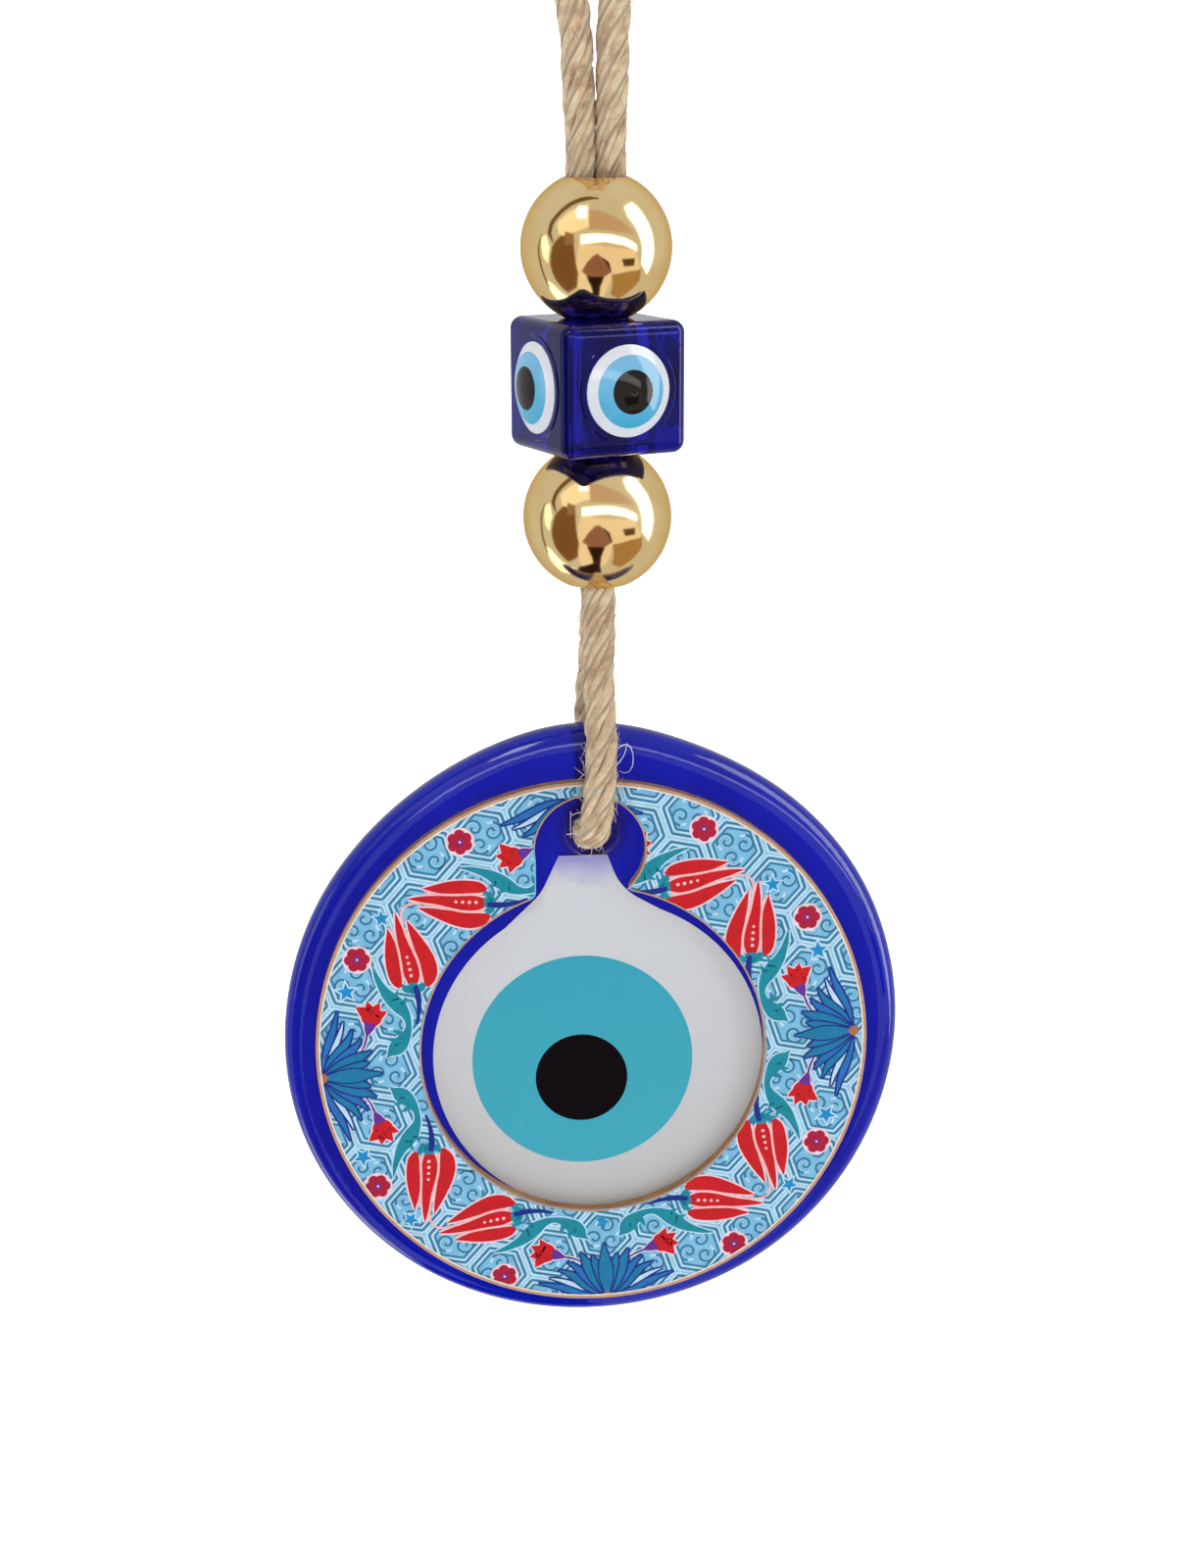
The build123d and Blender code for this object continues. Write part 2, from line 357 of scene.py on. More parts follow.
def bundle_line(side, start, stop):
    """A strand's centreline in the beads; the two go from side by side at the top to front and back."""
    count = int(abs(stop - start))
    top = 2.6 if side > 0 else 2.9
    line = []
    for i in range(count + 1):
        z = start + (stop - start) * i / count
        out = pressed + (top - pressed) * ease((z + 44) / 12) + 0.45 * ease((-106 - z) / 8.1)
        turn = -pi / 2 * ease((-50 - z) / 58)
        line.append(Vector((side * out * cos(turn), side * out * sin(turn), z)))
    return line


def resample(points, step):
    """The same line with points about step apart."""
    reach = [0.0]
    for a, b in zip(points, points[1:]):
        reach.append(reach[-1] + (b - a).length)
    count = max(2, round(reach[-1] / step))
    line, j = [], 0
    for i in range(count + 1):
        s = reach[-1] * i / count
        while j < len(points) - 2 and reach[j + 1] < s:
            j += 1
        line.append(points[j].lerp(points[j + 1], (s - reach[j]) / max(reach[j + 1] - reach[j], 1e-9)))
    return line


hanging_line = centreline("hanging_guide", hanging_route)
disc_line = centreline("disc_guide", disc_route)
legs = [  # (kind, line) in order along the whole cord
    ("bead", bundle_line(-1, join_z, bundle_top)),
    ("hanging", hanging_line),
    ("bead", bundle_line(1, bundle_top, bundle_low)),
    ("disc", disc_line),
    ("bead", bundle_line(-1, bundle_low, join_z)),
]


def cord_frames():
    """The whole cord as one line.

    Gives (place, across, beside, length so far) for each point, and the leg that each belongs to.
    """
    line, tags = [], []
    for n, (_tag, points) in enumerate(legs):
        points = resample(points, 0.7)
        line += points if not line else points[1:]
        tags += [n] * (len(points) - (1 if n else 0))
    frames, across, run = [], Vector((0, 1, 0)), 0.0
    for i, p in enumerate(line):
        tangent = (line[min(i + 1, len(line) - 1)] - line[max(i - 1, 0)]).normalized()
        across = (across - tangent * across.dot(tangent)).normalized()
        run += (p - line[i - 1]).length if i else 0.0
        frames.append((p, across.copy(), tangent.cross(across), run))
    return frames, tags


def ripple(seed, s, *waves):
    """A smooth uneven value around zero, from a few sines."""
    return sum(size * sin(2 * pi * s / wave + seed * (k + 1) * 1.7) for k, (wave, size) in enumerate(waves))


def squeeze_at(z):
    """How much thinner a strand is where the bores press the two together."""
    return 1 - 0.045 * ease((-34 - z) / 12) * ease((z + 113) / 8)


fray_swell, fray_lean = 0.14, 0.45


def fray_at(p):
    """From 0 to 1, how far the strand is into the disc's hole, where it is looser and leans left."""
    return ease((-150 - p.z) / 3) * ease((p.y + 8.2) / 2.6) * ease((4.5 - p.y) / 3)


def plies(frames, verts, faces, uvs, bored):
    """The cord's plies over these frames, as tubes that wind round its line."""
    sides = 12
    for k in range(ply_count):
        base = len(verts)
        for p, across, beside, s in frames:
            angle = 2 * pi * (s / ply_pitch + k / ply_count) + ripple(k, s, (23, 0.10), (9.1, 0.06))
            fray = 0.0 if bored else fray_at(p)
            squeeze = squeeze_at(p.z) if bored else 1 + fray_swell * fray
            p = p + Vector((-fray_lean * fray, 0, 0))
            ring = (ply_ring + ripple(k + 3, s, (17, 0.07), (6.3, 0.05))) * squeeze
            fat = (ply_r + ripple(k + 5, s, (13, 0.05), (4.7, 0.035))) * squeeze
            out = across * cos(angle) + beside * sin(angle)
            side = beside * cos(angle) - across * sin(angle)
            for i in range(sides):
                a = 2 * pi * i / sides
                r = fat * (1 + ripple(k * 7 + i * 2.3, s, (7.7, 0.045), (2.9, 0.03)))
                sideways = side * (r * sin(a) * ply_wide)
                verts.append(tuple(p + out * (ring + r * cos(a) * ply_flat) + sideways))
                uvs.append((i / sides + k * 3.37, s * 0.1))
        rows = len(frames)
        for j in range(rows - 1):
            for i in range(sides):
                a, b = base + j * sides + i, base + j * sides + (i + 1) % sides
                faces.append((a, b, b + sides, a + sides))
        for end, turn in ((0, -1), (rows - 1, 1)):  # each end's cap has corners of its own
            rim = base + end * sides
            faces.append(tuple(range(len(verts), len(verts) + sides))[::turn])
            verts += verts[rim:rim + sides]
            uvs += uvs[rim:rim + sides]


jute = Nodes("jute").set(roughness=0.95, sheen_weight=0.4, sheen_roughness=0.55, specular_ior_level=0.15)
along = jute.add("UVMap", uv_map="along").outputs["UV"]


def fibres(across, lengthwise, detail):
    """Noise drawn out along the plies."""
    placing = {"Vector": along, "Scale": (across, lengthwise, 1), "Rotation": (0, 0, 0.05)}
    stretched = jute.add("Mapping", placing).outputs["Vector"]
    return jute.noise(stretched, 1.0, detail, 0.65)


hair, tone, patch = fibres(20, 5, 5), fibres(6, 2.2, 2), fibres(1.4, 2.6, 3)
both = jute.add("Mix", {"Factor": 0.4, "A": hair, "B": tone}).outputs["Result"]
jute_light = jute.ramp(both, (0.3, colour(172, 126, 84)), (0.42, colour(246, 208, 160)),
                       (0.56, colour(255, 236, 198)), (0.7, colour(255, 250, 226)))
jute_dark = jute.ramp(both, (0.3, colour(112, 78, 50)), (0.45, colour(196, 154, 114)),
                      (0.7, colour(244, 216, 178)))
jute.into("Base Color", jute.between(jute.remap(patch, 0.42, 0.66), jute_light, jute_dark))
jute.bump(hair, 1.0, 0.0008)

cord_path, leg_of = cord_frames()
cords = {}
for name, wanted in (("hanging_cord", "hanging"), ("bundled_cord", "bead"), ("disc_cord", "disc")):
    verts, faces, uvs = [], [], []
    for n, (tag, _points) in enumerate(legs):
        if tag != wanted:
            continue
        first = leg_of.index(n)
        last = len(leg_of) - 1 - leg_of[::-1].index(n)
        plies(cord_path[max(first - 1, 0):last + 1], verts, faces, uvs, tag == "bead")
    cords[name] = mesh_object(name, verts, faces, jute.material, uvs=uvs)


def hair_tube(verts, faces, spots, root):
    """A loose fibre: a thin three-sided tube that tapers to its tip."""
    base = len(verts)
    last = len(spots) - 1
    side = (spots[1] - spots[0]).normalized().orthogonal().normalized()
    for i, spot in enumerate(spots):
        way = (spots[min(i + 1, last)] - spots[max(i - 1, 0)]).normalized()
        side = (side - way * side.dot(way)).normalized()
        other = way.cross(side)
        r = root * (1 - 0.6 * i / last)
        for k in range(3):
            verts.append(tuple(spot + side * (r * cos(2 * pi * k / 3)) + other * (r * sin(2 * pi * k / 3))))
    for i in range(last):
        for k in range(3):
            a, b = base + 3 * i + k, base + 3 * i + (k + 1) % 3
            faces.append((a, b, b + 3, a + 3))
    faces.append((base + 2, base + 1, base))
    faces.append((base + 3 * last, base + 3 * last + 1, base + 3 * last + 2))


board_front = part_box("printed_ring")[0][1] * metre
hair_gap = 0.3  # between loose fibres and the board behind them


def fuzz(name, frames, count, longest, material):
    """Loose fibres that stand off a stretch of the cord."""
    steps = 6
    verts, faces = [], []
    for _ in range(count):
        i = chance.randrange(2, len(frames) - 2)
        p, across, beside, _run = frames[i]
        along_cord = across.cross(beside)
        angle = chance.uniform(0, 2 * pi)
        out = across * cos(angle) + beside * sin(angle)
        way = (along_cord * chance.choice((-1, 1)) + out * chance.uniform(0.3, 1.3)
               + along_cord.cross(out) * chance.uniform(-0.5, 0.5)).normalized()
        size = chance.uniform(0.3, 1) ** 1.5 * longest
        bend = along_cord.cross(out) * chance.uniform(-0.9, 0.9)
        spots = []
        spot = p + out * (cord_r - 0.25)
        for _step in range(steps + 1):
            spots.append(spot.copy())
            pull = out * chance.uniform(0, 0.14)
            way = (way + bend * (0.9 / steps) + Vector((0, 0, -0.05)) - pull).normalized()
            spot = spot + way * (size / steps)
            if p.y < -8:  # in front of the board fibres lie flat against it
                spot.y = min(spot.y, board_front - hair_gap)
        hair_tube(verts, faces, spots, chance.uniform(0.045, 0.085))
    return mesh_object(name, verts, faces, material)


def fibre_paint(name, roughness, gloss, dark, light):
    """The material of loose fibres."""
    fibre = Nodes(name).set(roughness=roughness, specular_ior_level=gloss)
    tone = fibre.noise(fibre.place(), 500, 2)
    return fibre.into("Base Color", fibre.ramp(tone, (0.35, dark), (0.65, light))).material


lint = fibre_paint("loose_fibre", 0.9, 0.2, colour(196, 160, 118), colour(246, 226, 194))
pale_lint = fibre_paint("pale_fibre", 0.8, 0.3, colour(206, 196, 220), colour(244, 240, 248))


def stretch(tag):
    """The cord's frames over the legs of one kind."""
    return [f for f, n in zip(cord_path, leg_of) if legs[n][0] == tag]


above_beads = [f for f in stretch("bead") if f[0].z > -34.5]
loose = {  # name: (body, piece)
    "hanging_fuzz": ("cord", fuzz("hanging_fuzz", stretch("hanging"), 520, 2.9, lint)),
    "bundled_fuzz": ("cord", fuzz("bundled_fuzz", above_beads, 30, 2.0, lint)),
    "disc_fuzz": ("lower_cord", fuzz("disc_fuzz", stretch("disc"), 620, 2.8, lint)),
}
# a few long pale fibres hang in front of the hole, and one stands off as a loop over the rim
strays = [
    [(-4.9, -5.6, -150.6), (-5.0, -5.3, -152.2), (-4.9, -5.2, -154.0), (-5.0, -5.4, -155.8)],
    [(-5.6, -5.4, -154.6), (-4.6, -5.5, -154.4), (-3.2, -6.6, -154.2), (-2.0, -8.0, -153.6)],
    [(-4.4, -5.3, -152.6), (-3.6, -6.2, -151.8), (-2.6, -7.4, -151.4), (-1.6, -8.9, -151.0)],
    [(-4.2, -5.4, -155.2), (-3.4, -6.0, -154.0), (-2.8, -7.0, -152.8), (-2.2, -8.2, -152.0)],
    [(-3.4, -5.2, -156.2), (-2.6, -6.2, -156.0), (-1.6, -7.6, -155.8), (-0.6, -9.0, -156.6)],
    [(-4.6, -5.4, -153.4), (-3.8, -6.4, -153.6), (-3.0, -7.6, -153.0), (-2.2, -8.8, -152.6)],
    [(-3.8, -5.6, -156.8), (-3.2, -6.6, -155.4), (-2.6, -7.8, -154.0), (-2.4, -8.6, -152.8)],
    [(-4.8, -5.4, -151.4), (-4.0, -6.6, -150.6), (-3.2, -7.8, -150.2), (-2.2, -9.0, -149.6)],
    [(2.4, -9.4, -139.2), (3.6, -9.9, -138.0), (4.7, -10.1, -138.6), (5.1, -10.1, -140.6),
     (4.8, -10.0, -142.6), (3.6, -9.8, -143.4), (2.4, -9.6, -142.6)],
    [(2.3, -9.3, -142.0), (3.2, -9.9, -140.8), (3.9, -10.2, -139.2), (4.0, -10.2, -137.6)],
]
stray_r = 0.12
verts, faces = [], []
for route in strays:
    line = centreline("stray_guide", [tuple(c * mm for c in p) for p in route])
    hair_tube(verts, faces, line[::6], stray_r)
loose["stray_fibres"] = ("lower_cord", mesh_object("stray_fibres", verts, faces, pale_lint))
for body, piece in loose.values():
    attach(piece, body)

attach(cords["hanging_cord"], "cord")
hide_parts("hanging_loop")
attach(cords["bundled_cord"], "cord")
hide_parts("bead_cord")
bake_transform(cords["disc_cord"])
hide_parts("disc_loop")

# ---------------------------------------------------------------- beads and glass
gold = Nodes("gold").set(metallic=1.0, specular_tint=colour(240, 214, 170))
gold_place = gold.place()
gold_tone = gold.noise(gold_place, 120, 3)
gold.into("Base Color", gold.ramp(gold_tone, (0.3, colour(240, 208, 148)), (0.7, colour(248, 222, 168))))
gold.into("Roughness", gold.remap(gold_tone, to_low=0.05, to_high=0.14))
gold.bump(gold.noise(gold_place, 90, 2), 0.22, 0.0004)
for name in ("upper_gold_bead", "lower_gold_bead"):
    paint(name, gold.material)


def blown_glass(name, deep, streak, clear, gloss, shine, wave, strength, hole=None):
    """See-through glass: deep in colour with faint paler streaks, and a slightly uneven surface.

    wave is how fine the surface's unevenness is. Round a hole (x, 0, z) the glass is painted darker: a
    painted shade of the hole's funnel.
    """
    glass = Nodes(name).set(roughness=0.02, ior=1.46, transmission_weight=clear)
    glass.set(specular_ior_level=gloss, specular_tint=shine)
    here = glass.place()
    swirl = glass.noise(glass.place((1, 1, 0.35)), 60, 4, 0.6)
    body = glass.ramp(swirl, (0.3, deep), (0.75, streak))
    # painted shade: near the hole the glass colour turns to a dark purple, standing in for the shade in the
    # hole's funnel
    if hole:
        flat = glass.add("Mapping", {"Vector": here, "Scale": (1, 0, 1)}).outputs["Vector"]
        away = glass.add("VectorMath", {0: flat, 1: hole}, operation="DISTANCE").outputs["Value"]
        shadow = glass.ramp(swirl, (0.3, colour(22, 12, 64)), (0.75, colour(40, 24, 96)))
        body = glass.between(glass.remap(away, 0.0036, 0.0066, 1.0, 0.0), body, shadow)
    glass.into("Base Color", body)
    return glass.bump(glass.noise(here, wave, 2), strength, 0.0006).material


hole_place = (-0.0013, 0, -0.1546)  # the disc_swing joint's axis
paint("glass_cube", blown_glass("cube_glass", colour(8, 9, 112), colour(26, 27, 158), 0.8, 0.15,
                                colour(176, 180, 236), 70, 0.14))
paint("glass_disc", blown_glass("disc_glass", colour(8, 20, 156), colour(16, 34, 184), 0.55, 0.45,
                                colour(240, 244, 255), 45, 0.22, hole_place))


def eye_glass(name, low, high, bottom, top, gloss=0.4, tip=None):
    """Opaque coloured glass, from its low colour at bottom to its high one at top, both in metres.

    The topmost stretch has the colour of tip, if there is one. On the white drop that lavender is partly
    the blue glass over its neck and partly painted shade where the neck dips into the hole.
    """
    glass = Nodes(name).set(roughness=0.08, specular_ior_level=gloss)
    height = glass.add("SeparateXYZ", {"Vector": glass.place()}).outputs["Z"]
    shade = glass.remap(height, bottom, top)
    mottle = glass.noise(glass.place(), 180, 3)
    shade = glass.add("Mix", {"Factor": 0.12, "A": shade, "B": mottle}).outputs["Result"]
    glass.into("Base Color", glass.ramp(shade, (0.05, low), (0.87, high), (0.94, tip or high)))
    return glass.bump(glass.noise(glass.place(), 120, 2), 0.06, 0.0004).material


cube_low, cube_high = (corner[2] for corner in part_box("cube_iris_front_right"))
eye_low, eye_high = (corner[2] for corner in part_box("white_drop"))
cube_glasses = {
    "white": eye_glass("cube_white_glass", colour(204, 210, 220), colour(228, 232, 238),
                       cube_low, cube_high),
    "iris": eye_glass("cube_iris_glass", colour(52, 158, 196), colour(122, 188, 226), cube_low, cube_high),
    "pupil": eye_glass("cube_pupil_glass", colour(12, 8, 10), colour(26, 20, 20),
                       cube_low, cube_high, 0.25),
}
for name in nodes:
    if name.startswith("cube_"):
        paint(name, cube_glasses[name.split("_")[1]])
# the lavender tip is partly the blue glass over the neck and partly painted shade where the neck dips into
# the hole's funnel
paint("white_drop", eye_glass("white_glass", colour(192, 193, 194), colour(206, 210, 216),
                              eye_low, eye_high, tip=colour(150, 150, 204)))
paint("iris", eye_glass("iris_glass", colour(66, 170, 190), colour(54, 160, 184), eye_low, eye_high))
paint("pupil", eye_glass("pupil_glass", colour(4, 6, 12), colour(8, 10, 16), eye_low, eye_high, 0.2))

glue = Nodes("adhesive").set(roughness=0.5)
glue.into("Base Color", glue.ramp(glue.noise(glue.place(), 400, 3), (0.3, colour(214, 208, 190)),
                                  (0.7, colour(236, 232, 220))))
paint("ring_adhesive", glue.material)

# ---------------------------------------------------------------- the printed ring
ring_low, ring_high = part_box("printed_ring")
ring_x = (ring_low[0] + ring_high[0]) / 2 * metre
ring_z = (ring_low[2] + ring_high[2]) / 2 * metre
ring_r = 46.5
window, notch = (0.1, -0.8, 29.0), (-0.3, 34.8, 9.15)  # (x, z, radius) from the ring's middle
notch_left = -9.3  # where the notch's left side runs straight down to the window
ink_step = 0.012  # a level of ink lies this far in front of the one below
least_area = 1e-5  # twice a face's area; a smaller one isn't drawn
art_turn, art_x, art_z = 3.8, -0.6, -1.25  # the print sits slightly turned and off centre on the board

board = Nodes("printed_board").set(roughness=0.5, specular_ior_level=0.22)
depth = board.add("SeparateXYZ", {"Vector": board.place()}).outputs["Y"]
printed_to = ring_low[1] + 0.00004
front = board.add("Math", {0: depth, 1: printed_to}, operation="LESS_THAN").outputs["Value"]
grain = board.noise(board.place((300, 2600, 300)), 1.0, 3)
wood = board.ramp(grain, (0.25, colour(120, 78, 46)), (0.75, colour(196, 148, 102)))
blotch = board.noise(board.place(), 700, 2)
paper = board.ramp(blotch, (0.3, colour(112, 178, 216)), (0.7, colour(128, 190, 224)))
board.into("Base Color", board.between(front, wood, paper))
paint("printed_ring", board.material)

inks = {  # name: sRGB
    "ivory": (236, 232, 226), "tan": (196, 150, 116), "pale": (190, 224, 244), "steel": (48, 128, 168),
    "halo": (240, 214, 226), "red": (204, 0, 20), "cream": (255, 190, 190), "teal": (0, 138, 160),
    "navy": (12, 38, 140), "lotus": (4, 122, 168), "sky": (24, 112, 184), "star": (0, 140, 204),
    "crimson": (176, 6, 54), "purple": (96, 40, 150), "brown": (170, 108, 84),
}
art = {ink: ([], []) for ink in inks}  # ink: (vertices, faces)


def inside(x, z, edge):
    """Whether a point of the ring's face is printed, with a margin kept along every edge."""
    if hypot(x, z) > ring_r - edge or (notch_left - edge < x < 0 and window[1] < z < notch[1]):
        return False
    return all(hypot(x - cx, z - cz) > r + edge for cx, cz, r in (window, notch))


def kept(x, z, edge=0.25):
    """The point, moved onto the printed face where it lies past its edges."""
    reach = hypot(x, z)
    if reach > ring_r - edge:
        x, z = x * (ring_r - edge) / reach, z * (ring_r - edge) / reach
    for cx, cz, r in (window, notch):
        reach = hypot(x - cx, z - cz)
        if reach < r + edge:
            x, z = cx + (x - cx) * (r + edge) / reach, cz + (z - cz) * (r + edge) / reach
    if notch_left - edge < x < 0 and window[1] + window[2] * 0.8 < z < notch[1]:
        x = notch_left - edge
    return x, z


def add_face(ink, corners, level):
    """A flat piece of ink, in the ring's own millimetres, facing the front."""
    area = sum(a[0] * b[1] - b[0] * a[1] for a, b in zip(corners, corners[1:] + corners[:1]))
    if abs(area) < least_area:
        return
    if area < 0:
        corners = corners[::-1]
    verts, faces = art[ink]
    first = len(verts)
    level += 0.05 * (len(faces) % 9)  # faces of one ink that overlap seldom share a height
    verts += [(ring_x + x, board_front - ink_step * level, ring_z + z) for x, z in corners]
    faces.append(tuple(range(first, first + len(corners))))


def placing(number, side):
    """Turns a motif's (out, across) into the ring's (x, z), for one of four quarters and two sides."""
    t = radians(art_turn + 90 * number)

    def place(out, across):
        x = art_x + out * cos(t) - side * across * sin(t)
        z = art_z + out * sin(t) + side * across * cos(t)
        return x, z

    return place


def onward(points, i):
    """The unit direction of a run of points at its point i."""
    before, after = points[max(i - 1, 0)], points[min(i + 1, len(points) - 1)]
    size = hypot(after[0] - before[0], after[1] - before[1]) or 1.0
    return (after[0] - before[0]) / size, (after[1] - before[1]) / size


def catmull(a, b, c, d, t):
    """One number of a smooth run, a share t of the way from b to c."""
    return 0.5 * (2 * b + (c - a) * t + (2 * a - 5 * b + 4 * c - d) * t**2 + (3 * b - a - 3 * c + d) * t**3)


def flow(points, steps=6):
    """A smooth run through the points, whatever numbers they hold."""
    run = []
    last = len(points) - 1
    for i in range(last):
        near = (points[max(i - 1, 0)], points[i], points[i + 1], points[min(i + 2, last)])
        for k in range(steps):
            run.append(tuple(catmull(*numbers, k / steps) for numbers in zip(*near)))
    return run + [points[-1]]


def polar(x, z, r, angle):
    """The point at r and angle from (x, z)."""
    return x + r * cos(angle), z + r * sin(angle)


def patch_of_ink(ink, corners, level):
    """A face whose corners all lie well on the print, or nothing."""
    if all(inside(*corner, 0.2) for corner in corners):
        add_face(ink, corners, level)


def stroke(ink, points, level, place, grow=0.0):
    """A brush stroke through (out, across, half width) points."""
    run = flow(points)
    rows = []
    for i, (a, b, half) in enumerate(run):
        way_a, way_b = onward(run, i)
        half = max(half, 0.03) + grow
        pair = (place(a - way_b * half, b + way_a * half), place(a + way_b * half, b - way_a * half))
        rows.append([kept(*p) for p in pair])
    for (p, q), (r, t) in zip(rows, rows[1:]):
        patch_of_ink(ink, [p, q, t, r], level)


def dot(ink, a, b, r, level, place, sides=14):
    """A round spot."""
    spots = [polar(a, b, r, 2 * pi * i / sides) for i in range(sides)]
    patch_of_ink(ink, [kept(*place(*spot)) for spot in spots], level)


def star(ink, a, b, r, level, place):
    """A five-pointed star."""
    waist, turn = 0.45, 0.3
    spots = [polar(a, b, r * (waist if i % 2 else 1), pi * i / 5 + turn) for i in range(10)]
    patch_of_ink(ink, [kept(*place(*spot)) for spot in spots], level)


def rule(ink, points, half, level):
    """A line of even width through ring points, drawn only where the ring is printed."""
    before = None
    for i, (x, z) in enumerate(points):
        way_x, way_z = onward(points, i)
        here = None
        if inside(x, z, 0.35):
            here = [(x - way_z * half, z + way_x * half), (x + way_z * half, z - way_x * half)]
        if before and here:
            add_face(ink, [before[0], before[1], here[1], here[0]], level)
        before = here


def straight(p, q):
    """Points from p to q, about half a millimetre apart."""
    count = max(1, round(hypot(q[0] - p[0], q[1] - p[1]) / 0.45))
    shares = [i / count for i in range(count + 1)]
    return [(p[0] + (q[0] - p[0]) * share, p[1] + (q[1] - p[1]) * share) for share in shares]


# the ground: interlaced hexagons with three curls in each
cell, ground_turn = 9.6, radians(19)
cells_each_way = 7
nearest, farthest = 22, ring_r + 6  # how far out the middles of the cells that are drawn may lie
outlines = (("pale", 5.2, 0.22), ("steel", 4.72, 0.23), ("pale", 4.24, 0.22), ("steel", 3.76, 0.2))
ground_level = {"pale": 1, "steel": 2}


def hexagon(x, z, size, ink, half):
    """One outline of a cell."""
    corners = [polar(x, z, size, pi * k / 3 + pi / 6 + ground_turn) for k in range(7)]
    for p, q in zip(corners, corners[1:]):
        rule(ink, straight(p, q), half, ground_level[ink])


def curl(x, z, turn, ink, start):
    """One curl of a cell, a spiral that starts towards turn."""
    hub = polar(x, z, 1.75, turn)
    spiral = [polar(*hub, 0.28 + 0.115 * j, turn + start + 0.62 * j) for j in range(13)]
    rule(ink, flow(spiral, 3), 0.22, ground_level[ink])


for row in range(-cells_each_way, cells_each_way + 1):
    for column in range(-cells_each_way, cells_each_way + 1):
        u = cell * (column + (row % 2) / 2)
        w = cell * row * sqrt(3) / 2
        cell_x = u * cos(ground_turn) - w * sin(ground_turn)
        cell_z = u * sin(ground_turn) + w * cos(ground_turn)
        if not nearest < hypot(cell_x, cell_z) < farthest:
            continue
        for ink, size, half in outlines:
            hexagon(cell_x, cell_z, size, ink, half)
        for k in range(3):
            turn = 2 * pi * k / 3 + ground_turn + (row + column) % 2 * pi / 3
            curl(cell_x, cell_z, turn, "pale", 0.62)
            curl(cell_x, cell_z, turn, "steel", 0.0)

# one tulip, from the lotus' side; two of them meet on each diagonal
tulip_petals = [  # each stroke is (out from the middle, across, half width) points
    [(30.6, 14.9, 0.35), (31.1, 16.2, 0.95), (31.4, 18.2, 1.12), (31.5, 20.4, 1.12),
     (31.55, 22.5, 0.85), (31.65, 24.2, 0.4), (31.8, 25.4, 0.03)],
    [(26.2, 14.7, 0.4), (25.6, 16.2, 1.1), (25.5, 18.0, 1.32), (26.0, 20.0, 1.28),
     (26.8, 22.2, 1.0), (27.7, 24.4, 0.6), (28.5, 26.5, 0.03)],
    [(28.4, 15.4, 0.8), (28.45, 16.8, 1.25), (28.6, 18.6, 1.35), (28.95, 20.6, 1.15),
     (29.4, 22.8, 0.9), (29.85, 25.0, 0.6), (30.1, 26.8, 0.3), (30.2, 28.0, 0.03)],
]
tulip_lines = [
    [(30.0, 15.5, 0.15), (30.05, 17.4, 0.2), (30.15, 19.5, 0.2), (30.35, 21.6, 0.2),
     (30.7, 23.7, 0.16), (31.1, 25.2, 0.08)],
    [(27.1, 15.7, 0.15), (27.0, 17.5, 0.2), (27.3, 19.4, 0.22), (27.95, 21.4, 0.22),
     (28.6, 23.3, 0.22), (29.1, 25.2, 0.2), (29.35, 26.8, 0.2), (29.2, 28.0, 0.18), (28.75, 28.75, 0.16)],
]
tulip_dots = [(28.6, 16.8, 0.3), (28.7, 17.9, 0.3), (28.85, 19.0, 0.28), (29.0, 20.1, 0.25)]
calyx = [
    [(28.4, 13.5, 0.3), (28.4, 14.5, 1.0), (28.4, 15.5, 0.6)],
    [(28.6, 13.9, 0.3), (29.7, 14.5, 0.5), (30.2, 15.5, 0.1)],
    [(28.2, 13.9, 0.3), (27.0, 14.5, 0.5), (26.5, 15.4, 0.1)],
]
stem = [(28.1, 15.0, 0.4), (27.8, 13.4, 0.5), (27.75, 11.8, 0.42), (27.95, 10.0, 0.3), (28.4, 8.2, 0.18)]
saz_leaf = [
    (34.8, 19.0, 0.08), (34.4, 17.2, 0.4), (33.8, 15.6, 0.6), (33.0, 14.0, 0.9), (31.9, 12.6, 1.2),
    (30.9, 11.3, 1.15), (30.1, 9.9, 0.75), (29.8, 8.5, 0.5), (30.0, 7.2, 0.6), (30.7, 5.9, 1.0),
    (31.6, 4.8, 1.35), (32.6, 3.9, 1.15), (33.5, 3.1, 0.35), (34.0, 2.5, 0.05),
]
leaf_lobes = [
    [(31.6, 5.0, 0.8), (32.7, 5.7, 0.4), (33.6, 5.9, 0.05)],
    [(30.7, 6.3, 0.7), (31.7, 7.0, 0.35), (32.5, 7.3, 0.05)],
    [(31.8, 12.2, 0.8), (31.4, 13.6, 0.35), (31.0, 14.5, 0.05)],
    [(30.7, 11.0, 0.7), (30.2, 12.3, 0.35), (29.8, 13.2, 0.05)],
]
bud_middle = (35.8, 10.1, 1.75)
bud_tips = [
    [(35.9, 10.2, 1.3), (37.1, 11.2, 0.9), (38.3, 12.1, 0.04)],
    [(35.8, 10.4, 1.3), (36.1, 11.8, 0.7), (36.3, 12.9, 0.04)],
    [(35.8, 10.2, 1.3), (34.9, 11.5, 0.7), (34.3, 12.5, 0.04)],
    [(35.7, 10.0, 1.3), (34.3, 10.4, 0.7), (33.2, 10.9, 0.04)],
]
bud_calyx = [(36.1, 9.0, 1.05), (36.5, 8.0, 0.75), (36.9, 6.9, 0.16), (37.3, 5.6, 0.15), (38.0, 4.2, 0.12)]
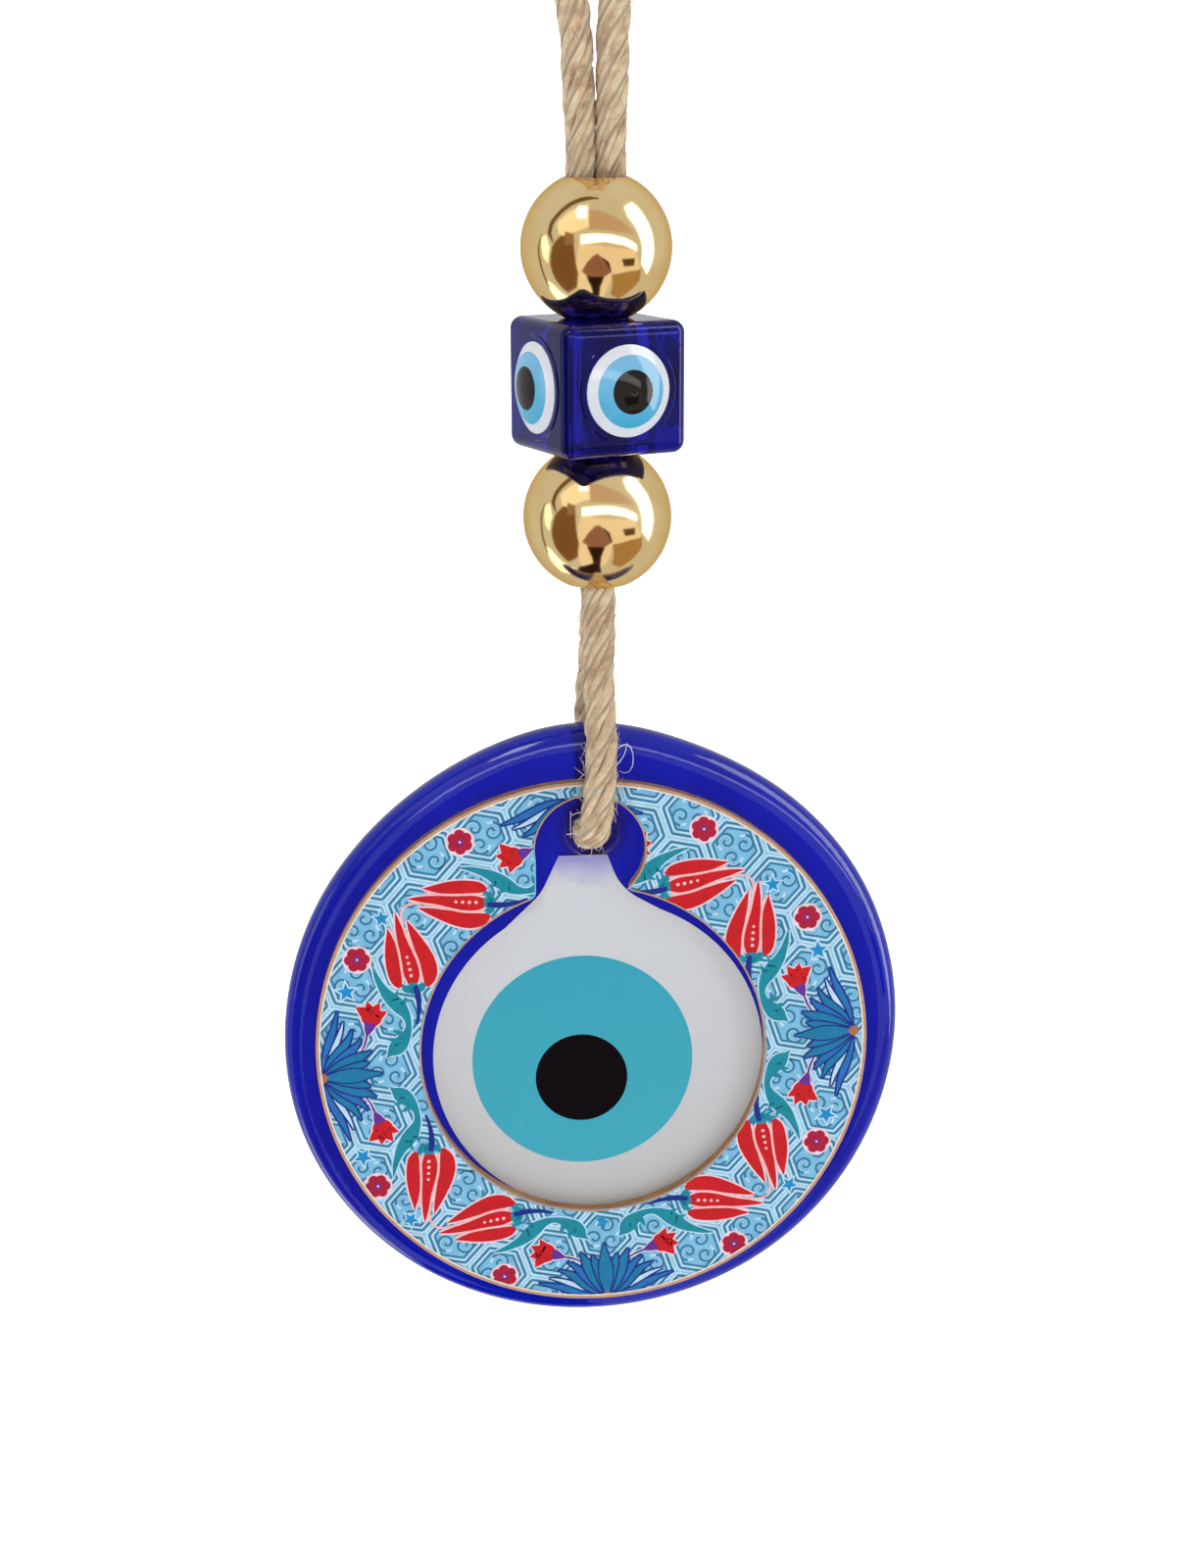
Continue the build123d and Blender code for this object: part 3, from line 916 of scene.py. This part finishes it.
lotus_petals = [  # (ink, stroke), outermost first
    ("sky", [(44.6, 0.8, 0.3), (44.2, 3.4, 0.6), (43.2, 6.4, 0.62), (42.2, 9.0, 0.4), (41.4, 11.8, 0.03)]),
    ("pale", [(44.5, 0.6, 0.2), (43.4, 3.4, 0.4), (42.2, 5.8, 0.45), (41.2, 8.0, 0.3), (40.6, 9.9, 0.03)]),
    ("lotus", [(44.6, 0.6, 0.3), (43.0, 2.8, 0.85), (41.3, 4.8, 0.75), (40.0, 6.6, 0.4),
               (39.2, 8.3, 0.03)]),
    ("sky", [(44.6, 0.5, 0.3), (42.4, 2.2, 0.8), (40.3, 4.0, 0.7), (38.7, 5.4, 0.35), (37.9, 6.6, 0.03)]),
    ("lotus", [(44.6, 0.3, 0.3), (42.0, 1.5, 1.05), (39.4, 2.8, 0.95), (37.5, 3.6, 0.45),
               (36.2, 4.2, 0.03)]),
    ("lotus", [(44.6, 0.1, 0.3), (41.4, 0.8, 0.8), (38.6, 1.7, 0.6), (36.9, 2.2, 0.03)]),
]
lotus_heart = [(44.8, 0, 0.2), (42.0, 0, 1.05), (39.4, 0, 1.2), (37.2, 0, 0.65), (34.8, 0, 0.03)]
stars = [(39.6, 14.9, 1.6), (32.6, 27.2, 1.4)]  # (out, across, radius)
rosettes = {  # (number, side): where its flower is
    (0, 1): (38.1, 20.9), (0, -1): (37.7, 19.7), (1, 1): (39.2, 18.6), (1, -1): (37.8, 21.7),
    (2, 1): (37.6, 20.5), (2, -1): (37.3, 20.4), (3, 1): (37.4, 22.5), (3, -1): (39.5, 17.5),
}


def draw_leaf(place):
    """The long leaf beside a tulip, with its lobes."""
    stroke("pale", saz_leaf, 3, place, 0.25)
    for points in [saz_leaf] + leaf_lobes:
        stroke("teal", points, 4, place)


def draw_bud(place):
    """A ragged red bud on its calyx and thin stem."""
    out, across, r = bud_middle
    stroke("halo", bud_calyx, 3, place, 0.22)
    dot("halo", out, across, r + 0.3, 3, place)
    dot("red", out, across, r, 5, place)
    for points in bud_tips:
        stroke("halo", points, 3, place, 0.28)
        stroke("red", points, 5, place)
    stroke("purple", bud_calyx[:3], 6, place)
    stroke("navy", bud_calyx[2:], 5, place)


def draw_tulip(place):
    """A tulip on its stem, over its halo."""
    stroke("navy", stem, 6, place)
    for points in tulip_petals:
        stroke("red", points, 5, place)
    for points in tulip_lines:
        stroke("cream", points, 6, place)
    for spot in tulip_dots:
        dot("cream", *spot, 6, place)
    for points in calyx:
        stroke("teal", points, 7, place)
    stroke("navy", stem[:2], 8, place)


def draw_rosette(out, across, place):
    """A flower of six round petals."""
    dot("halo", out, across, 2.5, 3, place)
    for k in range(6):
        dot("crimson", *polar(out, across, 1.25, pi * k / 3), 0.92, 4, place)
    dot("crimson", out, across, 1.0, 5, place)
    dot("purple", out, across, 0.55, 6, place)
    dot("cream", out, across, 0.22, 7, place, 8)


def draw_half_lotus(place):
    """The petals on one side of a lotus, each edged in navy and in front of the one before."""
    for n, (ink, points) in enumerate(lotus_petals):
        stroke("navy", points, 4 + n, place, 0.26)
        stroke(ink, points, 4.5 + n, place, -0.04)


for number in range(4):
    for side in (1, -1):
        place = placing(number, side)
        for points in tulip_petals:
            stroke("halo", points, 3, place, 0.32)
        draw_leaf(place)
        draw_bud(place)
        draw_tulip(place)
        for a, b, r in stars if number in (0, 2) else []:
            star("pale", a, b, r * 1.45, 3, place)
            star("star", a, b, r, 4, place)
        draw_rosette(*rosettes[number, side], place)
        draw_half_lotus(place)
    place = placing(number, 1)
    stroke("navy", lotus_heart, 10.5, place, 0.2)
    stroke("lotus", lotus_heart, 11, place, -0.04)
    if number != 1:
        dot("brown", 45.0, 0, 0.9, 11.5, place)
    if number == 3:
        star("star", 31.0, 0, 1.3, 4, place)


def rim_line(ink, cx, cz, r, half, level, holes):
    """A line along a cut edge, left out where another cut takes it."""
    count = round(r * 4)
    points = [polar(cx, cz, r, 2 * pi * i / count) for i in range(count + 1)]
    for p, q in zip(points, points[1:]):
        if any(notch_left - 0.3 < x < 0 and window[1] < z < notch[1] for x, z in (p, q)):
            continue
        if any(hypot(x - hx, z - hz) <= hr for x, z in (p, q) for hx, hz, hr in holes):
            continue
        way_x, way_z = onward([p, q], 0)
        before, after = ([(x - way_z * k, z + way_x * k) for k in (half, -half)] for x, z in (p, q))
        add_face(ink, before + after[::-1], level)


wide_window, wide_notch = (*window[:2], window[2] + 0.1), (*notch[:2], notch[2] + 0.1)
rim_line("ivory", 0, 0, ring_r - 0.62, 0.14, 12, [])
rim_line("tan", 0, 0, ring_r - 0.25, 0.24, 13, [])
rim_line("tan", *window[:2], window[2] + 0.16, 0.13, 13, [wide_notch])
rim_line("tan", *notch[:2], notch[2] + 0.16, 0.13, 13, [wide_window])

for ink, (verts, faces) in art.items():
    dye = Nodes("ink_" + ink).set(roughness=0.5, specular_ior_level=0.22)
    shade = colour(*inks[ink])
    deep = tuple(c * 0.86 for c in shade[:3]) + (1.0,)
    dye.into("Base Color", dye.ramp(dye.noise(dye.place(), 900, 2), (0.35, deep), (0.65, shade)))
    piece = mesh_object("print_" + ink, verts, faces, dye.material, smooth=False)
    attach(piece, "disc")
